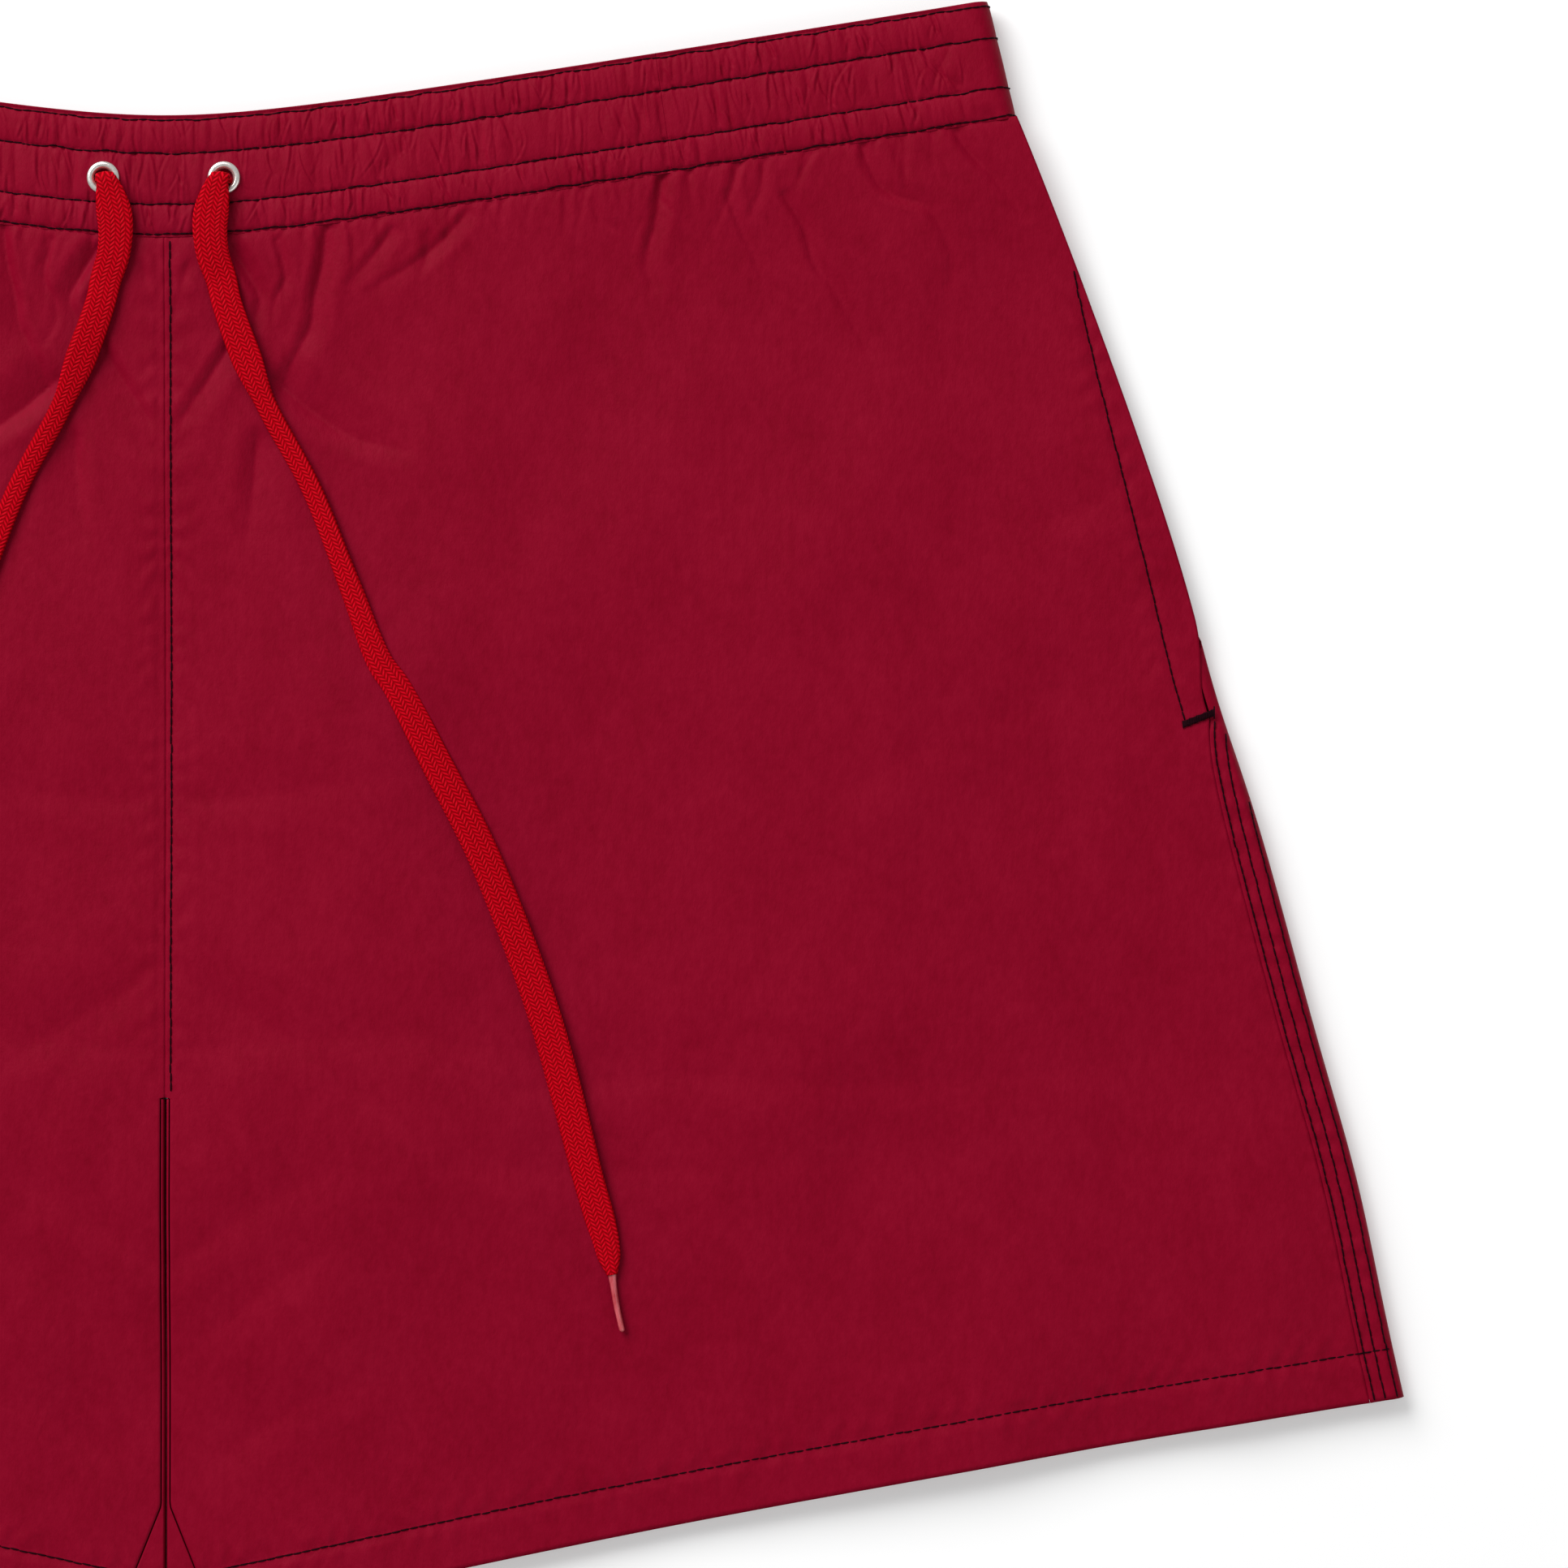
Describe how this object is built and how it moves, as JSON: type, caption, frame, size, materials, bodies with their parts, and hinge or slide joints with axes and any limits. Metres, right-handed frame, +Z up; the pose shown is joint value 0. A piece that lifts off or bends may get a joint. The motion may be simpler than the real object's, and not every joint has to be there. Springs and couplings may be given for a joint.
{
  "type": "boxing shorts",
  "caption": "Loose woven drawstring shorts laid flat, with a gathered elastic waistband, side-seam pockets and contrast topstitching.",
  "frame": {"origin": "under the middle of the garment's box, on the surface it lies on", "axes": "+Y towards the waist, +X to the viewer's right across the laid-flat shorts, +Z up through the layers"},
  "size_m": [0.733, 0.4822, 0.0144],
  "materials": {
    "shell_fabric": "crinkled matt woven nylon, dark red",
    "pocket_lining": "fine woven lining",
    "elastic": "ribbed elastic webbing",
    "drawcord": "flat herringbone braid, bright red",
    "thread": "spun polyester thread, near black",
    "eyelet_metal": "polished nickel",
    "aglet_plastic": "clear film heat-shrunk on red cord"
  },
  "bodies": {
    "root": {"aglet_left": "aglet_plastic", "aglet_right": "aglet_plastic", "back_panel_left": "shell_fabric", "back_panel_right": "shell_fabric", "centre_front_stitch": "thread", "drawcord_free_left": "drawcord", "drawcord_free_right": "drawcord", "drawcord_held": "drawcord", "elastic_lower": "elastic", "elastic_upper": "elastic", "eyelet_left": "eyelet_metal", "eyelet_right": "eyelet_metal", "eyelet_washer_left": "eyelet_metal", "eyelet_washer_right": "eyelet_metal", "front_panel_left": "shell_fabric", "front_panel_right": "shell_fabric", "hem_stitch_left": "thread", "hem_stitch_right": "thread", "pocket_bag_left": "pocket_lining", "pocket_bag_right": "pocket_lining", "pocket_bartack_left": "thread", "pocket_bartack_right": "thread", "pocket_stitch_left": "thread", "pocket_stitch_right": "thread", "side_stitch_1_left": "thread", "side_stitch_1_right": "thread", "side_stitch_2_left": "thread", "side_stitch_2_right": "thread", "side_stitch_3_left": "thread", "side_stitch_3_right": "thread", "waist_stitch_1": "thread", "waist_stitch_2": "thread", "waist_stitch_3": "thread", "waist_stitch_4": "thread", "waistband_back": "shell_fabric", "waistband_front": "shell_fabric"}
  },
  "joints": []
}
